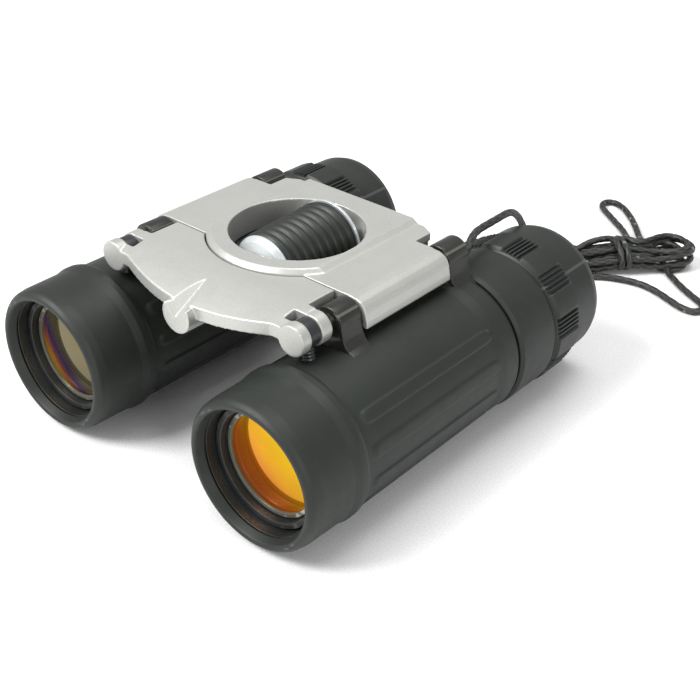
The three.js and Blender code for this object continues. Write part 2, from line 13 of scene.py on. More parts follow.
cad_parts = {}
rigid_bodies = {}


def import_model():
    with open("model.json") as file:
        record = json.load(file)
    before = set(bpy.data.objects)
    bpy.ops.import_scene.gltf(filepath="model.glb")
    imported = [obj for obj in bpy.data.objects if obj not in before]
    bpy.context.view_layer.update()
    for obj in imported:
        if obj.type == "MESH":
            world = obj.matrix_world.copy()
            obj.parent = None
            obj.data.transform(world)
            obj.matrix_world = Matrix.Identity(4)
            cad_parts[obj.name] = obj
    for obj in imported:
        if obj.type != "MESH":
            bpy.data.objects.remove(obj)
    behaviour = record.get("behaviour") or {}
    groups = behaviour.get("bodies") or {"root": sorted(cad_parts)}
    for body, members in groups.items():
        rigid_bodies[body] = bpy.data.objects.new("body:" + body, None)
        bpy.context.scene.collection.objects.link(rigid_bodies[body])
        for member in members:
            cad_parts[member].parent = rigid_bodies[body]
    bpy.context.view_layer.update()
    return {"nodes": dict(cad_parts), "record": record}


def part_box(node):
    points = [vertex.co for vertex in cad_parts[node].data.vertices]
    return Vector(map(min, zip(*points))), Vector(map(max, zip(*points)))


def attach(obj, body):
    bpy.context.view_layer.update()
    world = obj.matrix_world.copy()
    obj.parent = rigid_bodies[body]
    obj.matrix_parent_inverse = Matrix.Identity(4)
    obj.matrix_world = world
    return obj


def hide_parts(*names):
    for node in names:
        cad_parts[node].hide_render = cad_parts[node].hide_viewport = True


for leftover in list(bpy.data.objects):
    bpy.data.objects.remove(leftover)
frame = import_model()

MM = 0.001
BODY_OF = {node: body
           for body, nodes in frame["record"]["behaviour"]["bodies"].items()
           for node in nodes}


def span(node, axis):
    """Lowest and highest place of a CAD node on one axis, in millimetres."""
    low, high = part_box(node)
    return low[axis] / MM, high[axis] / MM


def middle(node, axis):
    low, high = span(node, axis)
    return (low + high) / 2


# ---------- sizes from the frame, in millimetres ----------
AXIS_X = middle("left_objective_hood", 0)
AXIS_Z = middle("left_objective_hood", 2)
HINGE_X = middle("left_hinge_rod", 0)
HINGE_Z = middle("left_hinge_rod", 2)
DRUM_Z = middle("focus_screw", 2)
SEAT_R = AXIS_Z
HOOD_FRONT, HOOD_REAR = span("left_objective_hood", 1)
SLEEVE_FRONT, SLEEVE_REAR = span("left_armour_sleeve", 1)
TUBE_FRONT, LUG_REAR = span("left_barrel_tube", 1)
CELL_FRONT, CELL_REAR = span("left_objective_cell", 1)
SHELL_FRONT, SHELL_REAR = span("left_eyepiece_housing", 1)
CUP_FRONT, CUP_REAR = span("left_eyecup", 1)
OCULAR_FRONT, OCULAR_REAR = span("left_ocular_tube", 1)
ROD_FRONT, ROD_REAR = span("left_hinge_rod", 1)
LINK_FRONT, LINK_REAR = span("left_focus_link", 1)
BRIDGE_REAR = span("bridge_plate", 1)[1]
FRONT_LUG = (-24.0, -18.0)
REAR_LUG = (10.4, LUG_REAR)
BRIDGE_FRONT = FRONT_LUG[1] + 0.35
CROWN_TOP = span("bridge_plate", 2)[1]
WING_TOP = CROWN_TOP - 1.0
SLIDE_FRONT = span("slide_plate", 1)[0]
DRUM_FRONT, DRUM_REAR = span("focus_drum", 1)
RUBBER_FRONT, RUBBER_REAR = span("drum_sleeve", 1)
GAP = 0.3
BORE_R = 13.3
TUBE_R = 14.5
BODY_R = 15.9
ROD_R = 1.3
ROD_BORE_R = 1.65
TUBE_REAR = 15.8
LINK_R = 2.95
PAST_ALL = 40
SIDES = ((1, "left"), (-1, "right"))

# ---------- camera ----------
EYE = Vector((0.1519, -0.1688, 0.1521))
TOWARDS_EYE = Vector((0.541, -0.651, 0.532)).normalized()
CAMERA_RIGHT = Vector((0.761, 0.648, 0.020))
FOCAL_LENGTH = 60.36


def make_camera():
    data = bpy.data.cameras.new("camera")
    data.sensor_width = 36
    data.lens = FOCAL_LENGTH
    data.clip_start = 0.01
    camera = bpy.data.objects.new("camera", data)
    bpy.context.scene.collection.objects.link(camera)
    right = (CAMERA_RIGHT - TOWARDS_EYE * CAMERA_RIGHT.dot(TOWARDS_EYE)).normalized()
    up = TOWARDS_EYE.cross(right)
    turn = Matrix((right, up, TOWARDS_EYE)).transposed().to_4x4()
    turn.translation = EYE
    camera.matrix_world = turn
    bpy.context.scene.camera = camera


make_camera()


# ---------- materials ----------
class Nodes:
    """A material's node tree, with short ways to add and link nodes."""

    def __init__(self, name):
        self.material = bpy.data.materials.new(name)
        self.material.use_nodes = True
        self.tree = self.material.node_tree
        self.tree.nodes.clear()
        self.output = self.add("ShaderNodeOutputMaterial")
        self.shader = self.add("ShaderNodeBsdfPrincipled")
        self.link(self.shader, "BSDF", self.output, "Surface")
        self.place = self.add("ShaderNodeTexCoord")

    def add(self, kind, **inputs):
        node = self.tree.nodes.new(kind)
        for key, value in inputs.items():
            node.inputs[key.replace("_", " ")].default_value = value
        return node

    def link(self, a, out, b, into):
        self.tree.links.new(a.outputs[out], b.inputs[into])

    def noise(self, scale, detail=3.0, rough=0.6, stretch=None):
        node = self.add("ShaderNodeTexNoise", Scale=scale, Detail=detail, Roughness=rough)
        source = self.place
        socket = "Object"
        if stretch:
            mapping = self.add("ShaderNodeMapping", Scale=stretch)
            self.link(self.place, "Object", mapping, "Vector")
            source = mapping
            socket = "Vector"
        self.link(source, socket, node, "Vector")
        return node

    def fixed(self, value):
        node = self.add("ShaderNodeValue")
        node.outputs[0].default_value = value
        return node

    def roughness(self, noise, smooth, rough):
        spread = self.add("ShaderNodeMapRange")
        spread.inputs["To Min"].default_value = smooth
        spread.inputs["To Max"].default_value = rough
        self.link(noise, "Fac", spread, "Value")
        self.link(spread, "Result", self.shader, "Roughness")

    def ramp(self, source, out, stops):
        node = self.add("ShaderNodeValToRGB")
        elements = node.color_ramp.elements
        while len(elements) < len(stops):
            elements.new(0.5)
        for element, (place, colour) in zip(elements, stops):
            element.position = place
            element.color = (*colour, 1)
        self.link(source, out, node, "Fac")
        return node

    def mix(self, factor, out, a, b, how="MIX"):
        node = self.tree.nodes.new("ShaderNodeMix")
        node.data_type = "RGBA"
        node.blend_type = how
        self.tree.links.new(factor.outputs[out], node.inputs[0])
        for value, socket in ((a, node.inputs[6]), (b, node.inputs[7])):
            if isinstance(value, tuple):
                socket.default_value = (*value, 1)
            else:
                self.tree.links.new(value, socket)
        return node.outputs[2]


POLISH_SPREAD = 0.07
# Pointiness range over which sharp edges are lightened, partly as wear and partly as painted highlight.
WORN_AND_LIT_FROM = 0.53
WORN_AND_LIT_FULLY = 0.62


def surface(name, colour, roughness, metallic=0.0, grain=2600, bump=0.25, depth=0.05, spread=0.18,
            edge_wear_and_highlight=None, stretch=None, specular=0.5, coat=0.0, coat_roughness=0.2):
    """A solid finish: mottled colour, fine grain in roughness and bump, and sharp edges lightened,
    partly as wear and partly as painted highlight.
    """
    made = Nodes(name)
    dark = tuple(c * (1 - spread) for c in colour)
    light = tuple(min(1, c * (1 + spread)) for c in colour)
    broad = made.noise(90, 4.0, 0.55)
    base = made.ramp(broad, "Fac", [(0.3, dark), (0.7, light)]).outputs["Color"]
    fine = made.noise(grain, 2.0, 0.5, stretch)
    speckle = made.ramp(fine, "Fac", [(0.35, (0.86, 0.86, 0.86)), (0.65, (1, 1, 1))])
    whole = made.fixed(1.0)
    base = made.mix(whole, "Value", base, speckle.outputs["Color"], "MULTIPLY")
    if edge_wear_and_highlight:
        # Painted highlight and wear: sharp convex edges, found by pointiness, are lightened towards the
        # edge colour.
        geometry = made.add("ShaderNodeNewGeometry")
        edge = made.ramp(geometry, "Pointiness", [(WORN_AND_LIT_FROM, (0, 0, 0)), (WORN_AND_LIT_FULLY, (1, 1, 1))])
        base = made.mix(edge, "Color", base, edge_wear_and_highlight)
    made.tree.links.new(base, made.shader.inputs["Base Color"])
    made.roughness(made.noise(400, 3.0), max(0.02, roughness - POLISH_SPREAD),
                   min(1, roughness + POLISH_SPREAD))
    relief = made.add("ShaderNodeBump", Strength=bump, Distance=depth * MM)
    made.link(fine, "Fac", relief, "Height")
    made.link(relief, "Normal", made.shader, "Normal")
    made.shader.inputs["Metallic"].default_value = metallic
    made.shader.inputs["Specular IOR Level"].default_value = specular
    made.shader.inputs["Coat Weight"].default_value = coat
    made.shader.inputs["Coat Roughness"].default_value = coat_roughness
    return made.material


def coated_lens_with_painted_glow(name, stops):
    """A reflecting ruby-type coating whose tint shifts with the angle at which it is seen. The base is
    halved and the same tint is emitted faintly as a painted glow.
    """
    made = Nodes(name)
    tilt = made.add("ShaderNodeLayerWeight", Blend=0.5)
    tint = made.ramp(tilt, "Facing", stops)
    haze = made.noise(160, 3.0)
    film = made.ramp(haze, "Fac", [(0.3, (0.93, 0.93, 0.93)), (0.7, (1, 1, 1))])
    whole = made.fixed(1.0)
    colour = made.mix(whole, "Value", tint.outputs["Color"], film.outputs["Color"], "MULTIPLY")
    deep = made.mix(whole, "Value", colour, (0.50, 0.50, 0.50), "MULTIPLY")
    made.tree.links.new(deep, made.shader.inputs["Base Color"])
    made.roughness(made.noise(900, 2.0), 0.03, 0.09)
    made.shader.inputs["Metallic"].default_value = 0.92
    # Painted glow: the lens gives off its coating tint as light of its own, with no lamp behind it.
    made.tree.links.new(colour, made.shader.inputs["Emission Color"])
    made.shader.inputs["Emission Strength"].default_value = 0.22
    return made.material


def clear_lens():
    made = Nodes("clear_lens")
    haze = made.noise(200, 3.0)
    tint = made.ramp(haze, "Fac", [(0.3, (0.10, 0.13, 0.16)), (0.7, (0.14, 0.17, 0.19))])
    made.link(tint, "Color", made.shader, "Base Color")
    made.roughness(made.noise(900, 2.0), 0.03, 0.08)
    made.shader.inputs["Metallic"].default_value = 0.35
    made.shader.inputs["Coat Weight"].default_value = 1.0
    made.shader.inputs["Coat Roughness"].default_value = 0.03
    return made.material


RUBBER = surface("rubber", (0.0125, 0.0158, 0.0128), 0.52, grain=3400, bump=0.35, depth=0.04,
                 edge_wear_and_highlight=(0.05, 0.058, 0.056), specular=0.38)
HARD_RUBBER = surface("hard_rubber", (0.0122, 0.0152, 0.0124), 0.46, grain=3000, bump=0.2, depth=0.03,
                      edge_wear_and_highlight=(0.05, 0.058, 0.056), specular=0.4)
LUG_BLACK = surface("lug_black", (0.0115, 0.0118, 0.009), 0.36, grain=2400, bump=0.18, depth=0.03,
                    edge_wear_and_highlight=(0.09, 0.09, 0.08), specular=0.5)
BLACK_PLASTIC = surface("black_plastic", (0.014, 0.016, 0.019), 0.38, grain=2800, bump=0.15,
                        depth=0.03, edge_wear_and_highlight=(0.05, 0.055, 0.06))
INNER_BLACK = surface("inner_black", (0.012, 0.014, 0.013), 0.42, grain=2200, bump=0.9, depth=0.12,
                      spread=0.5, edge_wear_and_highlight=(0.05, 0.055, 0.05))
SILVER = surface("silver_paint", (0.50, 0.505, 0.475), 0.40, metallic=0.6, grain=5200, bump=0.12,
                 depth=0.02, spread=0.03, edge_wear_and_highlight=(0.62, 0.64, 0.62), specular=0.5)
DRUM_SILVER = surface("drum_silver", (0.66, 0.69, 0.70), 0.30, metallic=0.55, grain=4200, bump=0.1,
                      depth=0.02, spread=0.04, edge_wear_and_highlight=(0.85, 0.87, 0.88))
STEEL = surface("steel", (0.52, 0.53, 0.54), 0.24, metallic=1.0, grain=1800, bump=0.12, depth=0.02,
                spread=0.08, edge_wear_and_highlight=(0.8, 0.8, 0.8), stretch=(1, 12, 1))
BLACK_STEEL = surface("black_steel", (0.045, 0.047, 0.05), 0.3, metallic=0.6, grain=2200, bump=0.15,
                      depth=0.02, edge_wear_and_highlight=(0.35, 0.36, 0.37))
LENS_EDGE = surface("lens_edge", (0.12, 0.12, 0.10), 0.30, metallic=0.3, grain=2600, bump=0.1,
                    depth=0.02, edge_wear_and_highlight=(0.4, 0.4, 0.36))
PRISM = surface("prism_glass", (0.20, 0.24, 0.26), 0.12, metallic=0.1, grain=900, bump=0.05,
                depth=0.01, coat=1.0, coat_roughness=0.05)
CORD_BLACK = surface("cord_black", (0.006, 0.0065, 0.0055), 0.5, grain=6000, bump=0.5, depth=0.05,
                     spread=0.3, edge_wear_and_highlight=(0.16, 0.18, 0.14), specular=0.5)
# The two ramps change their tints at different angles. Their darker stops, the left one's last and the
# right one's from 0.44 to 0.61, paint the reflection of the hood's dark inner wall.
COATED_GLASS_PAINTED_LIGHT = {
    "left": coated_lens_with_painted_glow("left_coated_lens_painted_glow", [
        (0.20, (0.80, 0.55, 0.002)),
        (0.34, (0.84, 0.52, 0.003)),
        (0.44, (0.90, 0.40, 0.004)),
        (0.50, (0.90, 0.22, 0.012)),
        (0.58, (0.75, 0.16, 0.02)),
        (0.68, (0.34, 0.28, 0.14)),
    ]),
    "right": coated_lens_with_painted_glow("right_coated_lens_painted_glow", [
        (0.20, (0.80, 0.50, 0.002)),
        (0.34, (0.76, 0.46, 0.01)),
        (0.44, (0.24, 0.195, 0.075)),
        (0.56, (0.18, 0.15, 0.08)),
        (0.61, (0.10, 0.05, 0.18)),
        (0.65, (0.50, 0.14, 0.06)),
        (0.69, (0.90, 0.48, 0.02)),
        (0.80, (0.70, 0.42, 0.03)),
    ]),
}
CLEAR_GLASS = clear_lens()


# ---------- mesh helpers ----------
def mesh_object(name, vertices, faces, material, sharp=38):
    """A mesh piece from vertices in millimetres, closed and with its normals outwards."""
    mesh = bpy.data.meshes.new(name)
    mesh.from_pydata([[c * MM for c in v] for v in vertices], [], faces)
    tidy = bmesh.new()
    tidy.from_mesh(mesh)
    bmesh.ops.remove_doubles(tidy, verts=tidy.verts, dist=1e-7)
    bmesh.ops.recalc_face_normals(tidy, faces=tidy.faces)
    tidy.to_mesh(mesh)
    tidy.free()
    mesh.polygons.foreach_set("use_smooth", [True] * len(mesh.polygons))
    if sharp:
        mesh.set_sharp_from_angle(angle=math.radians(sharp))
    mesh.materials.append(material)
    obj = bpy.data.objects.new(name, mesh)
    bpy.context.scene.collection.objects.link(obj)
    return obj


def stand_in(obj, slot, *nodes):
    """obj takes the place of these CAD nodes and moves with their body."""
    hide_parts(*nodes)
    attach(obj, BODY_OF[nodes[0]])
    return obj


def extra(obj, beside):
    """obj is more detail of the same body as the CAD node beside it."""
    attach(obj, BODY_OF[beside])
    return obj


def rounded(outline, radius, steps=4):
    """A closed outline with its corners rounded. A point's own radius may follow its two numbers."""
    points = []
    count = len(outline)
    for i, corner in enumerate(outline):
        here = np.array(corner[:2], float)
        before = np.array(outline[i - 1][:2], float)
        after = np.array(outline[(i + 1) % count][:2], float)
        r = corner[2] if len(corner) > 2 else radius
        to_before = before - here
        to_after = after - here
        long_before = np.linalg.norm(to_before)
        long_after = np.linalg.norm(to_after)
        to_before /= long_before
        to_after /= long_after
        angle = math.acos(float(np.clip(to_before @ to_after, -1, 1)))
        if r <= 0 or angle > math.radians(176):
            points.append(here)
            continue
        reach = min(r / math.tan(angle / 2), 0.47 * long_before, 0.47 * long_after)
        start = here + to_before * reach
        end = here + to_after * reach
        for k in range(steps + 1):
            t = k / steps
            points.append((1 - t) ** 2 * start + 2 * t * (1 - t) * here + t * t * end)
    return points


def refined(points, step):
    """A closed outline with no edge longer than step."""
    out = []
    for i, p in enumerate(points):
        q = points[(i + 1) % len(points)]
        pieces = max(1, math.ceil(np.linalg.norm(np.subtract(q, p)) / step))
        out += [np.add(p, np.subtract(q, p) * k / pieces) for k in range(pieces)]
    return out


def revolve(name, profile, x, z, material, columns=96, relief=None, side=1, sharp=38, whole=True):
    """A closed [radius, y] profile turned round an axis along Y. Angles are from the top, outboard."""
    vertices = []
    faces = []
    rows = len(profile)
    for i in range(columns):
        angle = 360 * i / columns
        a = math.radians(angle)
        for r, y in profile:
            reach = r + (relief(angle, y, r) if relief else 0)
            vertices.append((x + side * reach * math.sin(a), y, z + reach * math.cos(a)))
    for i in range(columns):
        j = (i + 1) % columns
        for k in range(rows if whole else rows - 1):
            m = (k + 1) % rows
            faces.append((i * rows + k, i * rows + m, j * rows + m, j * rows + k))
    return mesh_object(name, vertices, faces, material, sharp)


def prism(outline, axis, low, high):
    """A solid: an outline in the two other axes, in X, Y, Z order, pulled along one axis."""
    vertices = []
    for place in (low, high):
        for a, b in outline:
            point = [a, b]
            point.insert(axis, place)
            vertices.append(tuple(point))
    n = len(outline)
    faces = [tuple(range(n)), tuple(range(2 * n - 1, n - 1, -1))]
    faces += [(i, (i + 1) % n, n + (i + 1) % n, n + i) for i in range(n)]
    return vertices, faces


def box_solid(x0, x1, y0, y1, z0, z1):
    return prism([(x0, y0), (x1, y0), (x1, y1), (x0, y1)], 2, z0, z1)


def ring_points(r, a, b, sides):
    return [(a + r * math.cos(2 * math.pi * i / sides), b + r * math.sin(2 * math.pi * i / sides))
            for i in range(sides)]


def rod(r, x, z, y0, y1, sides=48):
    return prism(ring_points(r, x, z, sides), 1, y0, y1)


def cone(r0, r1, x, y, z0, z1, sides=128):
    low = [(a, b, z0) for a, b in ring_points(r0, x, y, sides)]
    high = [(a, b, z1) for a, b in ring_points(r1, x, y, sides)]
    faces = [tuple(range(sides)), tuple(range(2 * sides - 1, sides - 1, -1))]
    faces += [(i, (i + 1) % sides, sides + (i + 1) % sides, sides + i) for i in range(sides)]
    return low + high, faces


def joined(solids):
    vertices = []
    faces = []
    for more_vertices, more_faces in solids:
        shift = len(vertices)
        vertices += more_vertices
        faces += [tuple(i + shift for i in face) for face in more_faces]
    return vertices, faces


def applied(obj):
    """Replaces obj's mesh by what its modifiers make of it."""
    graph = bpy.context.evaluated_depsgraph_get()
    mesh = bpy.data.meshes.new_from_object(obj.evaluated_get(graph))
    obj.modifiers.clear()
    old = obj.data
    obj.data = mesh
    bpy.data.meshes.remove(old)
    return obj


def boolean(obj, solids, how):
    """Cuts obj by solids, adds them to it, or keeps what it shares with them."""
    tool = mesh_object("tool", *joined(solids), BLACK_PLASTIC, 0)
    step = obj.modifiers.new(how, "BOOLEAN")
    step.operation = how
    step.solver = "EXACT"
    step.use_self = True
    step.object = tool
    applied(obj)
    bpy.data.objects.remove(tool)
    return obj


def softened(obj, voxel, passes):
    """Fuses obj's solids into one skin with slightly rounded edges, as on a casting."""
    remesh = obj.modifiers.new("remesh", "REMESH")
    remesh.mode = "VOXEL"
    remesh.voxel_size = voxel * MM
    remesh.use_smooth_shade = True
    smooth = obj.modifiers.new("smooth", "SMOOTH")
    smooth.factor = 0.5
    smooth.iterations = passes
    applied(obj)
    obj.data.polygons.foreach_set("use_smooth", [True] * len(obj.data.polygons))
    return obj


def arc(cx, cz, r, start, end, steps):
    """Points on an arc; angles in degrees from +Z towards +X."""
    turn = [math.radians(start + (end - start) * i / steps) for i in range(steps + 1)]
    return [(cx + r * math.sin(a), cz + r * math.cos(a)) for a in turn]


def mirrored(outline, side):
    return [(side * p[0], *p[1:]) for p in outline]


def between(value, start, end):
    """0 before start, 1 after end, and a smooth step between them."""
    t = min(1.0, max(0.0, (value - start) / (end - start)))
    return t * t * (3 - 2 * t)


# ---------- wrist strap ----------
CORD_D = 1.8
CORD_LIE = CORD_D / 2 + 0.05
LEAD_OUTER = [
    (26.8, 13.8, 34.6), (26.7, 17.2, 34.6), (26.4, 20.0, 35.2), (25.3, 23.2, 36.1),
    (24.1, 26.0, 36.6), (22.9, 30.0, 36.4), (22.2, 35.0, 35.9), (21.5, 40.5, 35.3),
    (20.6, 45.0, 34.5), (20.0, 48.4, 33.4), (19.6, 51.2, 31.6), (19.2, 53.6, 29.4),
    (18.9, 55.9, 26.6), (18.3, 59.0, 21.0), (17.4, 62.8, 13.4), (16.2, 67.0, 6.8),
    (14.6, 71.4, 2.8), (13.0, 75.0, 1.3), (11.6, 78.6, CORD_LIE),
]
LEAD_INNER = [
    (24.7, 13.8, 34.6), (24.6, 17.0, 34.5), (23.7, 20.2, 33.8), (21.8, 23.0, 33.0),
    (19.4, 26.0, 31.6), (17.2, 29.6, 29.8), (15.6, 33.8, 28.1), (14.5, 38.6, 26.6),
    (14.1, 43.6, 25.3), (14.0, 48.0, 24.4), (14.1, 52.0, 22.8), (14.3, 55.4, 19.6),
    (14.4, 58.8, 15.0), (14.2, 62.8, 9.6), (13.4, 67.2, 5.0), (12.1, 71.6, 2.4),
    (10.8, 75.6, 1.2), (9.4, 79.2, CORD_LIE),
]
LOOP_BACK = [
    (25.4, 112.0, 3.4), (21.4, 117.2, 1.7), (15.7, 124.9, CORD_LIE), (10.6, 130.4, CORD_LIE),
    (6.2, 134.0, CORD_LIE), (2.6, 134.9, CORD_LIE), (0.7, 132.6, CORD_LIE), (2.0, 129.6, CORD_LIE),
    (5.6, 126.6, CORD_LIE), (10.0, 123.2, CORD_LIE), (14.6, 119.6, CORD_LIE), (18.6, 115.0, 1.4),
    (22.4, 109.6, 3.2),
]
LOOP_SIDE = [
    (25.0, 90.8, CORD_LIE), (28.6, 92.5, CORD_LIE), (34.0, 93.9, CORD_LIE), (39.2, 93.2, CORD_LIE),
    (44.4, 91.2, CORD_LIE), (49.0, 89.6, CORD_LIE), (52.2, 90.0, CORD_LIE), (53.2, 92.4, CORD_LIE),
    (51.6, 95.0, CORD_LIE), (47.8, 97.2, CORD_LIE), (43.8, 99.6, CORD_LIE), (40.4, 102.0, CORD_LIE),
    (37.6, 104.2, CORD_LIE),
]
HANK_FROM = np.array([11.0, 86.4])
HANK_TO = np.array([34.0, 110.9])
HANK_RUN = float(np.linalg.norm(HANK_TO - HANK_FROM))
FOLD_R = 4.7
LAYER = 0.95
TIE_AT = 19.0
EASING_PASSES = 30
PATH_STEP = 0.28


def hank_point(u, v, z):
    """A point of the hank: along it, to its left, and up."""
    along = (HANK_TO - HANK_FROM) / HANK_RUN
    left = np.array([-along[1], along[0]])
    x, y = HANK_FROM + along * u + left * v
    return (float(x), float(y), z)


def lift(u):
    """The bundle is off the surface where the tie passes under it."""
    return 1.7 * (1 - between(abs(u - TIE_AT), 2.0, 12.0))


def run(turn, side, u0, u1, flare0=FOLD_R, flare1=FOLD_R):
    """One run of the hank, pulled in at the tie, from u0 to u1."""
    column = (0.95, 2.75, 4.4)[turn % 3]
    points = []
    for k in range(1, 6):
        t = k / 6
        u = u0 + (u1 - u0) * t
        pinch = math.sin(math.pi * t) ** 0.8
        flare = flare0 + (flare1 - flare0) * t
        v = flare + (column - flare) * pinch
        low = CORD_LIE + LAYER * turn
        tied = CORD_LIE + 1.6 * (turn // 3)
        z = low + (tied - low) * pinch + lift(u)
        points.append(hank_point(u, side * v, z))
    return points


def fold(turn, u, start, end):
    """A fold at the end of the hank, from one angle to another round u."""
    z = CORD_LIE + LAYER * turn
    points = []
    for k in range(7):
        a = math.radians(start + (end - start) * k / 6)
        points.append(hank_point(u + FOLD_R * math.cos(a), FOLD_R * math.sin(a), z))
    return points


def far_fold(turn):
    return fold(turn, HANK_RUN - 1.6 * ((turn + 1) % 3) + 1.0, -90, 90)


def near_fold(turn):
    return fold(turn + 0.5, 1.2 * (turn % 3), 90, 270)


def tie():
    """Two turns round the bundle, from the top back to the top."""
    points = []
    for k in range(17):
        a = math.radians(20 + 45 * k)
        u = TIE_AT + 2.2 - 3.9 * k / 16
        points.append(hank_point(u, 5.9 * math.sin(a), 4.35 + 3.4 * math.cos(a)))
    return points


def strap_route():
    """The whole cord: out of the lug, through the hank and its two sprung loops, and back."""
    far = HANK_RUN
    route = list(LEAD_OUTER)
    route += [hank_point(-2.6, -3.8, CORD_LIE), hank_point(0.8, -3.2, CORD_LIE)]
    route += run(0, -1, 2, far, 3.0) + far_fold(0) + run(0, 1, far, 1) + near_fold(0)
    route += [hank_point(6.0, -6.2, CORD_LIE)] + LOOP_SIDE
    route += [hank_point(far - 3.0, -2.2, 2.4), hank_point(far - 5.0, 2.4, 3.0)]
    route += run(1, 1, far - 6, 1, 4.0) + near_fold(1)
    route += run(2, -1, 1, far) + far_fold(2) + run(2, 1, far, 1) + near_fold(2)
    route += run(3, -1, 1, far - 8) + [hank_point(far - 4.0, -1.6, 4.2), hank_point(far - 4.3, 3.0, 4.2)]
    route += LOOP_BACK + [hank_point(far - 9.6, 4.4, 4.2)]
    route += run(3, 1, far - 11, 1, 3.4) + near_fold(3)
    for turn in (4, 5):
        route += run(turn, -1, 1, far) + far_fold(turn) + run(turn, 1, far, 1) + near_fold(turn)
    route += run(6, -1, 1, far) + far_fold(6)
    route += [hank_point(far - 5, 2.4, 6.9), hank_point(far - 8.6, -0.4, 7.6)]
    route += [hank_point(far - 11.2, -0.6, 8.0)] + tie()
    route += [hank_point(15.6, 4.6, 6.4), hank_point(11.6, 4.4, 5.6), hank_point(6.5, 2.8, 3.6)]
    route += [hank_point(0.4, 0.9, 1.9), hank_point(-3.2, -1.6, 1.2)]
    return route + LEAD_INNER[::-1]


def smooth_path(points, step):
    """A smooth path through points, in even steps, eased at sharp turns and kept off the surface."""
    points = np.array(points, float)
    padded = np.vstack([2 * points[0] - points[1], points, 2 * points[-1] - points[-2]])
    dense = []
    for i in range(1, len(padded) - 2):
        p0, p1, p2, p3 = padded[i - 1:i + 3]
        t0 = 0.0
        t1 = t0 + np.linalg.norm(p1 - p0) ** 0.5
        t2 = t1 + np.linalg.norm(p2 - p1) ** 0.5
        t3 = t2 + np.linalg.norm(p3 - p2) ** 0.5
        for t in np.linspace(t1, t2, 16, endpoint=False):
            a1 = (t1 - t) / (t1 - t0) * p0 + (t - t0) / (t1 - t0) * p1
            a2 = (t2 - t) / (t2 - t1) * p1 + (t - t1) / (t2 - t1) * p2
            a3 = (t3 - t) / (t3 - t2) * p2 + (t - t2) / (t3 - t2) * p3
            b1 = (t2 - t) / (t2 - t0) * a1 + (t - t0) / (t2 - t0) * a2
            b2 = (t3 - t) / (t3 - t1) * a2 + (t - t1) / (t3 - t1) * a3
            dense.append((t2 - t) / (t2 - t1) * b1 + (t - t1) / (t2 - t1) * b2)
    dense.append(padded[-2])
    path = evenly(np.array(dense), step)
    for _ in range(EASING_PASSES):
        path[1:-1] += 0.5 * ((path[:-2] + path[2:]) / 2 - path[1:-1])
    path[:, 2] = np.maximum(path[:, 2], CORD_LIE)
    return evenly(path, step)


def evenly(path, step):
    lengths = np.concatenate([[0], np.cumsum(np.linalg.norm(np.diff(path, axis=0), axis=1))])
    places = np.linspace(0, lengths[-1], round(lengths[-1] / step) + 1)
    return np.column_stack([np.interp(places, lengths, path[:, k]) for k in range(3)])


BRAID_STRANDS = 8
BRAID_PITCH = 3.6
BRAID_DEPTH = 0.17


def braided_cord(name, path, diameter, material, sides=16):
    """A closed tube along path whose surface carries the crossing strands of a braid."""
    tangents = np.gradient(path, axis=0)
    tangents /= np.linalg.norm(tangents, axis=1)[:, None]
    normal = np.cross(tangents[0], (0, 0, 1))
    normal /= np.linalg.norm(normal)
    step = float(np.linalg.norm(path[1] - path[0]))
    vertices = []
    faces = []
    for i, (point, along) in enumerate(zip(path, tangents)):
        normal = normal - along * (normal @ along)
        normal /= np.linalg.norm(normal)
        across = np.cross(along, normal)
        turn = 2 * math.pi * i * step / BRAID_PITCH
        for k in range(sides):
            a = 2 * math.pi * k / sides
            left = math.cos(BRAID_STRANDS / 2 * a + turn)
            right = math.cos(BRAID_STRANDS / 2 * a - turn)
            r = diameter / 2 - BRAID_DEPTH * (1 - max(left, right)) / 2
            vertices.append(point + r * (math.cos(a) * normal + math.sin(a) * across))
    count = len(path)
    for i in range(count - 1):
        for k in range(sides):
            m = (k + 1) % sides
            faces.append((i * sides + k, i * sides + m, (i + 1) * sides + m, (i + 1) * sides + k))
    faces.append(tuple(range(sides)))
    faces.append(tuple(range((count - 1) * sides, count * sides)))
    return mesh_object(name, vertices, faces, material, 0)


strap_path = smooth_path(strap_route(), PATH_STEP)
strap = braided_cord("wrist_strap", strap_path, CORD_D, CORD_BLACK)
stand_in(strap, "strap_cord", "strap_lead_outer", "strap_lead_inner", "strap_hank",
         "strap_loop_back", "strap_loop_side")


# ---------- barrels ----------
STRAP_SLOT_X = (5.9, 1.3)
STRAP_SLOT_Y = (13.2, 18.0)
STRAP_SLOT_Z = (16.75, 18.85)
LUG_EDGE = 0.32


def lug_outline():
    """A lug's section in a barrel's own frame: a strap over the rod and a web down to the tube."""
    dx = HINGE_X - AXIS_X
    dz = HINGE_Z - AXIS_Z
    return [
        *arc(dx + 0.7, dz, 3.45, -40, 90, 20),
        (0.3, 19.2), (0.6, 17.9), (1.1, 16.9), (1.9, 16.15), (3.4, 15.6), (2.9, 13.65),
        (-6.3, 12.8), (-6.6, 15.5), (-6.45, 19.0),
        *arc(dx, dz, 2.75, -115, -45, 8),
    ]


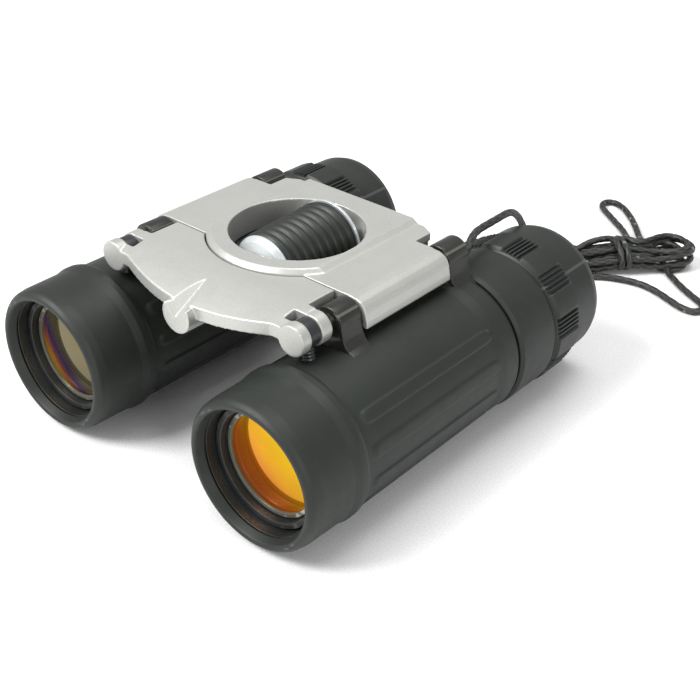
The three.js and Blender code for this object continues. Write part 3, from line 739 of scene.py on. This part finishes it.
def bevelled(name, outline, y0, y1, bevel, material, steps=4):
    """An outline in X and Z pulled along Y, with rounded edges at both ends."""
    points = np.array(outline, float)
    x, z = points.T
    if np.sum(x * np.roll(z, -1) - np.roll(x, -1) * z) < 0:
        points = points[::-1]
    ahead = np.roll(points, -1, axis=0) - points
    ahead /= np.linalg.norm(ahead, axis=1)[:, None]
    behind = np.roll(ahead, 1, axis=0)
    inward = np.column_stack([-(ahead + behind)[:, 1], (ahead + behind)[:, 0]])
    inward /= np.linalg.norm(inward, axis=1)[:, None]
    rings = []
    for k in range(steps + 1):
        a = math.pi / 2 * k / steps
        rings.append((y0 + bevel * (1 - math.sin(a)), bevel * (1 - math.cos(a))))
    rings += [(y0 + y1 - y, offset) for y, offset in reversed(rings)]
    rings = sorted(rings)
    vertices = []
    for y, offset in rings:
        vertices += [(x, y, z) for x, z in points + inward * offset]
    n = len(points)
    faces = [tuple(range(n)), tuple(range((len(rings) - 1) * n, len(rings) * n))]
    for r in range(len(rings) - 1):
        faces += [(r * n + i, r * n + (i + 1) % n, (r + 1) * n + (i + 1) % n, (r + 1) * n + i)
                  for i in range(n)]
    return mesh_object(name, vertices, faces, material, 50)


RIB_CENTRES = (51, 76, 101, 126, 151)
RIB_HALF_WIDTH = 1.35
RIB_FRONT = -32.2
RIB_REAR = 8.6
RIB_HEIGHT = 0.42


def rib_relief(angle, y, r):
    """Long raised ribs with round ends along both sides of the armour."""
    if r < BODY_R - 0.2:
        return 0
    inboard = min(angle, 360 - angle)
    nearest = min(RIB_CENTRES, key=lambda c: abs(c - inboard))
    u = math.radians(abs(inboard - nearest)) * BODY_R
    v = abs(y - (RIB_FRONT + RIB_REAR) / 2) - (RIB_REAR - RIB_FRONT) / 2
    corner = RIB_HALF_WIDTH - 0.15
    du = max(u - RIB_HALF_WIDTH + corner, 0)
    dv = max(v + corner, 0)
    outside = math.hypot(du, dv) - corner
    if u < RIB_HALF_WIDTH and v < -corner:
        outside = u - RIB_HALF_WIDTH
    return RIB_HEIGHT * (1 - between(outside, -0.35, 0.15))


GRIP_PITCH = 36.0
GRIP_FIRST = 8.0
GRIP_HALF = 6.6
GROOVE_PITCH = 3.3
GRIP_START = 30.3
GRIP_END = 39.0
GRIP_END_EASE = 0.5
GRIP_SEAT_R = 16.05
GRIP_SUNK = 0.18
BAR_HEIGHT = 0.62
PILLOW_HEIGHT = 0.80


def grip_relief(angle, y, r):
    """Groups of four fine bars between smooth pillows, round the eyecup's grip."""
    if r < GRIP_SEAT_R or not GRIP_START < y < GRIP_END:
        return 0
    off = (angle - GRIP_FIRST + GRIP_PITCH / 2) % GRIP_PITCH - GRIP_PITCH / 2
    ends = between(y, GRIP_START, GRIP_START + GRIP_END_EASE)
    ends *= 1 - between(y, GRIP_END - GRIP_END_EASE, GRIP_END)
    if abs(off) < GRIP_HALF:
        wave = 0.5 + 0.5 * math.cos(2 * math.pi * (off / GROOVE_PITCH + 0.5))
        return BAR_HEIGHT * between(wave, 0.25, 0.75) * ends - GRIP_SUNK
    edge = math.radians(abs(off) - GRIP_HALF) * SEAT_R
    return PILLOW_HEIGHT * between(edge, 0.15, 0.75) * ends - GRIP_SUNK


def hood_profile():
    return refined(rounded([
        (TUBE_R + GAP, HOOD_REAR), (16.5, HOOD_REAR, 0.25), (SEAT_R, -35.3, 0.5), (SEAT_R, -36.6, 1.2),
        (16.35, -38.4, 1.5), (16.2, -46.8, 2.0), (15.9, -49.0, 1.8), (15.0, HOOD_FRONT, 1.0),
        (14.1, HOOD_FRONT + 0.1, 0.7), (BORE_R, -48.2, 0.6), (BORE_R, TUBE_FRONT - GAP, 0.1),
        (TUBE_R + GAP, TUBE_FRONT - GAP, 0.1),
    ], 0.3, 6), 2.0)


def armour_profile():
    return refined(rounded([
        (TUBE_R + GAP, SLEEVE_FRONT), (BODY_R, SLEEVE_FRONT, 0.25), (BODY_R, 8.0, 3.0),
        (16.3, 10.8, 3.0), (16.4, SLEEVE_REAR - 0.9, 0.6), (16.1, SLEEVE_REAR, 0.2),
        (TUBE_R + GAP, SLEEVE_REAR, 0.1),
    ], 0.2), 0.55)


def shell_profile():
    return refined(rounded([
        (12.0, SHELL_FRONT), (13.0, SHELL_FRONT), (13.0, 16.1), (15.9, 16.1, 0.1), (16.15, 16.1, 0.2),
        (SEAT_R, 16.85, 0.3), (SEAT_R, 28.5, 0.6), (16.4, SHELL_REAR, 0.3), (12.0, SHELL_REAR, 0.1),
    ], 0.15), 2.0)


def cup_profile():
    return refined(rounded([
        (12.0, CUP_FRONT, 0.1), (15.9, CUP_FRONT, 0.3), (16.55, 30.1, 0.3), (16.55, 39.2, 0.3),
        (16.05, 39.9, 0.5), (15.9, 47.4, 2.0), (15.3, 49.3, 1.2), (14.4, CUP_REAR, 0.7),
        (13.2, CUP_REAR, 0.7), (12.5, 49.2, 0.5), (12.0, 45.6, 0.5),
    ], 0.3, 5), 0.6)


def cell_profile():
    """The objective cell, with fine steps turned in its front wall against stray light."""
    wall = []
    for k in range(5):
        y = -39.2 - 0.75 * k
        wall += [(11.65, y, 0), (11.4, y - 0.12, 0), (11.4, y - 0.4, 0), (11.65, y - 0.55, 0)]
    return rounded([
        (12.9, CELL_FRONT, 0.15), (12.9, CELL_REAR, 0.1), (10.6, CELL_REAR, 0.1), (10.6, -39.0, 0.1),
        *wall, (11.65, CELL_FRONT, 0.2),
    ], 0)


def lens_profile(r, front_rim, front_vertex, rear_rim, rear_vertex, steps=14):
    front = [(r * k / steps, front_vertex + (front_rim - front_vertex) * (k / steps) ** 2)
             for k in range(steps + 1)]
    rear = [(r * k / steps, rear_vertex + (rear_rim - rear_vertex) * (k / steps) ** 2)
            for k in range(steps + 1)]
    return front + rear[::-1]


POST_Y = -29.75
POST_R = 1.4
POST_LOW = 12.0
POST_HIGH = 19.2
THREAD_PITCH = 0.7


def post_profile():
    """A threaded post as a lathe profile of [radius, height]."""
    points = [(0, POST_LOW), (POST_R - 0.2, POST_LOW)]
    height = POST_LOW + 0.1
    while height < POST_HIGH - THREAD_PITCH:
        points += [(POST_R - 0.22, height), (POST_R, height + 0.28), (POST_R, height + 0.4)]
        height += THREAD_PITCH
    return points + [(POST_R - 0.3, POST_HIGH), (0, POST_HIGH)]


def make_post(name, side, material):
    """The threaded post from the cell up to the hinge rod, leaning with the hinge."""
    lean = math.atan2(side * (HINGE_X - AXIS_X), HINGE_Z - AXIS_Z)
    out = Vector((math.sin(lean), 0, math.cos(lean)))
    across = Vector((math.cos(lean), 0, -math.sin(lean)))
    foot = Vector((side * AXIS_X, POST_Y, AXIS_Z))
    vertices = []
    faces = []
    profile = post_profile()
    rows = len(profile)
    columns = 32
    for i in range(columns):
        a = 2 * math.pi * i / columns
        for r, height in profile:
            vertices.append(tuple(foot + out * height + across * (r * math.cos(a))
                                  + Vector((0, r * math.sin(a), 0))))
    for i in range(columns):
        j = (i + 1) % columns
        faces += [(i * rows + k, i * rows + k + 1, j * rows + k + 1, j * rows + k)
                  for k in range(rows - 1)]
    return mesh_object(name, vertices, faces, material)


def rounded_rod(name, r, x, z, y0, y1, edge, material, columns=64):
    profile = rounded([(0, y0, 0), (r, y0, edge), (r, y1, edge), (0, y1, 0)], edge)
    return revolve(name, profile, x, z, material, columns, whole=False)


def make_lug(name, side, limits, material):
    outline = [(side * (x + AXIS_X), z + AXIS_Z) for x, z in rounded(lug_outline(), 0.35)]
    return bevelled(name, outline, *limits, LUG_EDGE, material)


def make_barrel(side, name):
    x = side * AXIS_X
    z = AXIS_Z

    def turned(part, profile, material, slot, columns=128, relief=None):
        obj = revolve(f"{name}_{part}_shape", profile, x, z, material, columns, relief, side)
        return stand_in(obj, slot, f"{name}_{part}")

    turned("objective_hood", hood_profile(), RUBBER, "rubber_armour", 160)
    turned("armour_sleeve", armour_profile(), RUBBER, "rubber_armour", 360, rib_relief)
    turned("eyepiece_housing", shell_profile(), RUBBER, "rubber_armour", 160)
    turned("eyecup", cup_profile(), HARD_RUBBER, "rubber_armour", 540, grip_relief)
    turned("objective_cell", cell_profile(), INNER_BLACK, "black_barrel")
    turned("objective_ring", rounded([(10.45, -43.9), (11.35, -43.9), (11.35, -43.3), (10.45, -43.3)],
                                     0.12), LENS_EDGE, "black_barrel")
    turned("objective_lens", lens_profile(11.3, -42.95, -44.0, -39.9, -39.4),
           COATED_GLASS_PAINTED_LIGHT[name], "coated_glass")
    turned("ocular_tube", rounded([(10.0, OCULAR_FRONT), (11.6, OCULAR_FRONT), (11.6, OCULAR_REAR),
                                   (7.2, OCULAR_REAR), (7.2, 44.2), (10.0, 44.2)], 0.2),
           INNER_BLACK, "black_barrel")
    turned("eye_lens", lens_profile(9.6, 38.6, 38.0, 41.2, 43.0), CLEAR_GLASS, "clear_glass")

    tube = revolve(f"{name}_tube_shape", rounded([
        (BORE_R, TUBE_FRONT), (TUBE_R, TUBE_FRONT), (TUBE_R, TUBE_REAR), (BORE_R, TUBE_REAR),
    ], 0.2), x, z, INNER_BLACK, 96, None, side)
    stand_in(tube, "black_barrel", f"{name}_barrel_tube")
    front = make_lug(f"{name}_front_lug", side, FRONT_LUG, LUG_BLACK)
    rear = make_lug(f"{name}_rear_lug", side, REAR_LUG, LUG_BLACK)
    if side > 0:
        slot = box_solid(AXIS_X - STRAP_SLOT_X[0], AXIS_X - STRAP_SLOT_X[1], *STRAP_SLOT_Y,
                         AXIS_Z + STRAP_SLOT_Z[0], AXIS_Z + STRAP_SLOT_Z[1])
        boolean(rear, [slot], "DIFFERENCE")
    for lug in (front, rear):
        boolean(lug, [rod(ROD_BORE_R, side * HINGE_X, HINGE_Z, -PAST_ALL, PAST_ALL, 40)], "DIFFERENCE")
        extra(lug, f"{name}_barrel_tube")

    hinge = rounded_rod(f"{name}_hinge_rod_shape", ROD_R, side * HINGE_X, HINGE_Z, ROD_FRONT, ROD_REAR,
                        0.25, STEEL)
    stand_in(hinge, "bright_steel", f"{name}_hinge_rod")
    ring = revolve(f"{name}_link_ring", rounded([
        (ROD_BORE_R, LINK_FRONT), (LINK_R, LINK_FRONT), (LINK_R, LINK_REAR), (ROD_BORE_R, LINK_REAR),
    ], 0.2), side * HINGE_X, HINGE_Z, BLACK_PLASTIC, 64)
    stand_in(ring, "black_barrel", f"{name}_focus_link")
    extra(make_post(f"{name}_post", side, BLACK_STEEL), f"{name}_focus_link")


for side, name in SIDES:
    make_barrel(side, name)

# ---------- bridge ----------
WELL_Y = -4.4
WELL_R = 14.6
WELL_WALL_R = 16.2
COLLAR_R = 19.2
COLLAR_TOP_R = 18.2
CROWN_X = 15.0
CROWN_FOOT_X = 16.5
WING_T = 1.8
WING_REAR = 9.4
SKIRT_Z = AXIS_Z + 18.7
WING_KNUCKLE_R = 2.7
SCREW_TUNNEL_R = 3.2
BRIDGE_VOXEL = 0.2
BRIDGE_PASSES = 5
SCREW_PLACES = ((18.6, -12.5), (18.6, 6.5), (-18.6, -12.5), (-18.6, 6.5))


def wing_outline():
    h = HINGE_Z
    x = HINGE_X
    return rounded([
        (0, WING_TOP, 0), (x + 0.6, WING_TOP, 2.0), (x + 2.2, h + 3.2, 2.0), (x + 3.4, h + 2.75, 1.0),
        (x + 4.3, h + 1.9, 1.0), (x + 4.8, h + 0.7, 1.0), (x + 5.15, h - 0.9, 1.0),
        (x + 5.25, h - 2.5, 0.15), (x + 4.0, h - 2.5, 0.15), (x + 3.7, h - 0.2, 1.0),
        (x + 3.1, h + 1.0, 1.0), (x + 2.2, WING_TOP - WING_T, 1.0), (0, WING_TOP - WING_T, 0),
    ], 0.5, 5)


def crown_outline(foot):
    return [
        (-CROWN_FOOT_X, foot), (CROWN_FOOT_X, foot), (CROWN_FOOT_X, WING_TOP), (CROWN_X, CROWN_TOP),
        (-CROWN_X, CROWN_TOP), (-CROWN_FOOT_X, WING_TOP),
    ]


def make_bridge():
    solids = []
    for side, _ in SIDES:
        solids.append(prism(mirrored(wing_outline(), side), 1, BRIDGE_FRONT, WING_REAR))
        solids.append(rod(WING_KNUCKLE_R, side * HINGE_X, HINGE_Z, BRIDGE_FRONT, WING_REAR))
        solids.append(prism(mirrored([(14.5, BRIDGE_FRONT), (23, BRIDGE_FRONT), (23, -16.2),
                                      (14.5, -16.2)], side), 2, SKIRT_Z, WING_TOP - 1))
    solids.append(prism([(-21, WING_REAR - 1), (21, WING_REAR - 1), (21, 14.6), (18, BRIDGE_REAR),
                         (-18, BRIDGE_REAR), (-21, 14.6)], 2, WING_TOP - WING_T, WING_TOP))
    solids.append(prism(crown_outline(WING_TOP - WING_T), 1, WELL_Y, BRIDGE_REAR))
    solids.append(cone(WELL_WALL_R, WELL_WALL_R, 0, WELL_Y, SKIRT_Z, WING_TOP - 0.2))
    solids.append(box_solid(-20.3, 20.3, BRIDGE_REAR - 2.6, BRIDGE_REAR - 1.2, SKIRT_Z, WING_TOP - 1))
    solids += [cone(2.1, 2.1, px, py, SKIRT_Z, WING_TOP - 1, 32) for px, py in SCREW_PLACES]
    collar = mesh_object("bridge_plate_shape", *joined([
        cone(COLLAR_R, COLLAR_TOP_R, 0, WELL_Y, WING_TOP - 0.01, CROWN_TOP),
        cone(COLLAR_R, COLLAR_R, 0, WELL_Y, WING_TOP - WING_T, WING_TOP)]), SILVER, 0)
    boolean(collar, [prism(crown_outline(WING_TOP - WING_T - 1), 1, -30, WELL_Y + 0.1)], "INTERSECT")
    boolean(collar, solids, "UNION")
    cuts = [cone(WELL_R, WELL_R, 0, WELL_Y, SKIRT_Z - 1, CROWN_TOP + 1)]
    cuts.append(rod(SCREW_TUNNEL_R, 0, DRUM_Z, -30, 20))
    cuts += [rod(ROD_BORE_R, side * HINGE_X, HINGE_Z, -PAST_ALL, PAST_ALL) for side, _ in SIDES]
    cuts += [cone(1.1, 1.1, px, py, SKIRT_Z - 1, WING_TOP - 1.6, 24) for px, py in SCREW_PLACES]
    boolean(collar, cuts, "DIFFERENCE")
    softened(collar, BRIDGE_VOXEL, BRIDGE_PASSES)
    return stand_in(collar, "silver_paint", "bridge_plate")


make_bridge()

# ---------- focusing carrier ----------
KNUCKLE_R = 3.26
KNUCKLE_A = (-33.75, -31.2)
KNUCKLE_B = (-28.3, -25.4)
CARRIER_FLAT_Y = -25.0
DROOP_R = 27.8
CARRIER_T = 2.8
NOSE_Y = -37.7
BOSS_R = 3.8
NOTCH_X = 21.4
SHOULDER_X = 22.2
CUT_X = 30
CUT_Z = (30, 50)
CARRIER_VOXEL = 0.18
CARRIER_PASSES = 4


def droop(y):
    return WING_TOP - max(0.0, CARRIER_FLAT_Y - y) ** 2 / (2 * DROOP_R)


def make_carrier():
    top = [(y, droop(y)) for y in np.linspace(CARRIER_FLAT_Y, NOSE_Y, 25)]
    top.insert(0, (BRIDGE_FRONT - 0.35, WING_TOP))
    under = [(y, z - CARRIER_T) for y, z in reversed(top)]
    inner = HINGE_X - 1.2
    plate = mesh_object("slide_plate_shape", *prism(top + under, 0, -inner, inner), SILVER, 0)
    front = [(x, min(NOSE_Y + 4 * (x / 20.5) ** 2, KNUCKLE_A[0])) for x in np.linspace(-26, 26, 53)]
    boolean(plate, [prism(front + [(26, -10), (-26, -10)], 2, *CUT_Z)], "INTERSECT")
    knuckles = [rod(KNUCKLE_R, side * HINGE_X, HINGE_Z, *limits, 96)
                for side, _ in SIDES for limits in (KNUCKLE_A, KNUCKLE_B)]
    boss = mesh_object("boss", *rod(BOSS_R, 0, DRUM_Z, SLIDE_FRONT, -25.6, 96), SILVER, 0)
    skin = [(y, z - 0.2) for y, z in top[1:]]
    boolean(boss, [prism([(SLIDE_FRONT - 1, 25), (-25.5, 25), (-25.5, WING_TOP - 0.5), *skin,
                          (SLIDE_FRONT - 1, droop(NOSE_Y) - 0.5)], 0, -6, 6)], "INTERSECT")
    boss_solid = ([tuple(c / MM for c in v.co) for v in boss.data.vertices],
                  [tuple(f.vertices) for f in boss.data.polygons])
    boolean(plate, knuckles, "UNION")
    boolean(plate, [boss_solid], "UNION")
    bpy.data.objects.remove(boss)
    cuts = [cone(COLLAR_R + 0.35, COLLAR_R + 0.35, 0, WELL_Y, *CUT_Z)]
    for side, _ in SIDES:
        near, far = sorted((side * NOTCH_X, side * CUT_X))
        cuts.append(box_solid(near, far, KNUCKLE_A[1], KNUCKLE_B[0], *CUT_Z))
        near, far = sorted((side * SHOULDER_X, side * CUT_X))
        cuts.append(box_solid(near, far, KNUCKLE_B[1], -10, *CUT_Z))
        cuts.append(rod(ROD_BORE_R, side * HINGE_X, HINGE_Z, ROD_FRONT - GAP, 0))
    cuts.append(rod(2.2, 0, DRUM_Z, -34.6, -20))
    cuts.append(groove_solid())
    boolean(plate, cuts, "DIFFERENCE")
    softened(plate, CARRIER_VOXEL, CARRIER_PASSES)
    return stand_in(plate, "silver_paint", "slide_plate")


def groove_solid():
    """The V-shaped groove that widens towards the carrier's nose."""
    points = [(0, -29.3, WING_TOP + 0.1), (0, -42, AXIS_Z + 17.0), (-6.5, -42, AXIS_Z + 22.0),
              (6.5, -42, AXIS_Z + 22.0), (0, -42, AXIS_Z + 26)]
    faces = [(0, 1, 2), (0, 3, 1), (0, 2, 4), (0, 4, 3), (1, 3, 4, 2)]
    return points, faces


make_carrier()


# ---------- focus drum ----------
CORE_R = 7.2
SLEEVE_FRONT_R = 8.3
SLEEVE_REAR_R = 9.0
DRUM_RIBS = 9
RIB_DEPTH = 0.85


def drum_profile():
    return rounded([
        (2.2, -15.9, 0.1), (3.0, DRUM_FRONT, 0.9), (5.2, -16.95, 1.6), (7.1, -15.95, 1.0),
        (7.9, -14.8, 0.3), (7.9, -14.4, 0.1), (CORE_R, -14.4, 0.1), (CORE_R, RUBBER_REAR + GAP, 0.1),
        (SLEEVE_REAR_R, RUBBER_REAR + GAP, 0.1), (SLEEVE_REAR_R, DRUM_REAR, 0.15), (2.2, DRUM_REAR, 0.1),
    ], 0.3, 6)


def sleeve_profile():
    """The drum's rubber sleeve, with round ribs across it."""
    points = [(CORE_R + 0.1, RUBBER_FRONT), (SLEEVE_FRONT_R - RIB_DEPTH, RUBBER_FRONT)]
    steps = DRUM_RIBS * 12
    for k in range(1, steps):
        t = k / steps
        crest = abs(math.sin(math.pi * DRUM_RIBS * t)) ** 0.9
        r = SLEEVE_FRONT_R + (SLEEVE_REAR_R - SLEEVE_FRONT_R) * t
        y = RUBBER_FRONT + (RUBBER_REAR - RUBBER_FRONT) * t
        points.append((r - RIB_DEPTH + RIB_DEPTH * crest, y))
    return points + [(SLEEVE_REAR_R - 0.3, RUBBER_REAR), (CORE_R + 0.1, RUBBER_REAR)]


def screw_profile():
    """The focus screw, with a thread on the part that drives the carrier."""
    front, rear = span("focus_screw", 1)
    points = [(0, front), (1.4, front)]
    y = front + 0.5
    while y < -18.5:
        points += [(1.55, y), (1.9, y + 0.3), (1.9, y + 0.45)]
        y += 0.75
    return points + [(1.9, y), (1.9, rear - 0.2), (1.7, rear), (0, rear)]


def make_drum():
    drum = revolve("focus_drum_shape", drum_profile(), 0, DRUM_Z, DRUM_SILVER, 128)
    stand_in(drum, "silver_trim", "focus_drum")
    sleeve = revolve("drum_sleeve_shape", sleeve_profile(), 0, DRUM_Z, HARD_RUBBER, 160, sharp=0)
    stand_in(sleeve, "drum_rubber", "drum_sleeve")
    screw = revolve("focus_screw_shape", screw_profile(), 0, DRUM_Z, STEEL, 48, whole=False)
    stand_in(screw, "bright_steel", "focus_screw")
    for node in ("front_bush", "rear_bush", "screw_collar"):
        y0, y1 = span(node, 1)
        bush = revolve(f"{node}_shape", rounded([(2.2, y0), (2.9, y0), (2.9, y1), (2.2, y1)], 0.12),
                       0, DRUM_Z, STEEL, 64)
        stand_in(bush, "bright_steel", node)


make_drum()

# ---------- inner parts that stay as the frame has them ----------
KEPT = {
    "bottom_cover": BLACK_PLASTIC,
    "prism_cage": INNER_BLACK,
    "entry_prism": PRISM,
    "roof_prism": PRISM,
    "prism_clip": STEEL,
    "field_lens": CLEAR_GLASS,
    "cover_screw": STEEL,
}
for node, obj in frame["nodes"].items():
    for part, material in KEPT.items():
        if part in node:
            obj.data.materials.clear()
            obj.data.materials.append(material)
            edge = obj.modifiers.new("edge", "BEVEL")
            edge.width = 0.12 * MM
            edge.segments = 2
            edge.limit_method = "ANGLE"


# ---------- surroundings ----------
FLOOR_REACH = 1500
WORLD_STRENGTH = 0.62


def make_surroundings():
    corners = [(-FLOOR_REACH, -FLOOR_REACH, 0), (FLOOR_REACH, -FLOOR_REACH, 0),
               (FLOOR_REACH, FLOOR_REACH, 0), (-FLOOR_REACH, FLOOR_REACH, 0)]
    pale = surface("floor", (0.86, 0.86, 0.86), 0.8, spread=0.01, bump=0.02)
    floor = mesh_object("floor", corners, [(0, 1, 2, 3)], pale)
    world = bpy.data.worlds.new("studio")
    world.use_nodes = True
    world.node_tree.nodes["Background"].inputs["Color"].default_value = (1, 1, 1, 1)
    world.node_tree.nodes["Background"].inputs["Strength"].default_value = WORLD_STRENGTH
    bpy.context.scene.world = world
    lamps = (
        ("key", (-0.30, -0.50, 0.62), 0.34, 8.0),
        ("fill", (0.7, -0.3, 0.35), 0.3, 1.6),
        ("top", (0.05, 0.15, 0.9), 0.5, 4.0),
    )
    for name, place, size, power in lamps:
        data = bpy.data.lights.new(name, "AREA")
        data.size = size
        data.energy = power
        lamp = bpy.data.objects.new(name, data)
        lamp.location = place
        aim = Vector((0, 0, 0.02)) - Vector(place)
        lamp.rotation_euler = aim.to_track_quat("-Z", "Y").to_euler()
        bpy.context.scene.collection.objects.link(lamp)
    bpy.context.scene.view_settings.view_transform = "Standard"


make_surroundings()
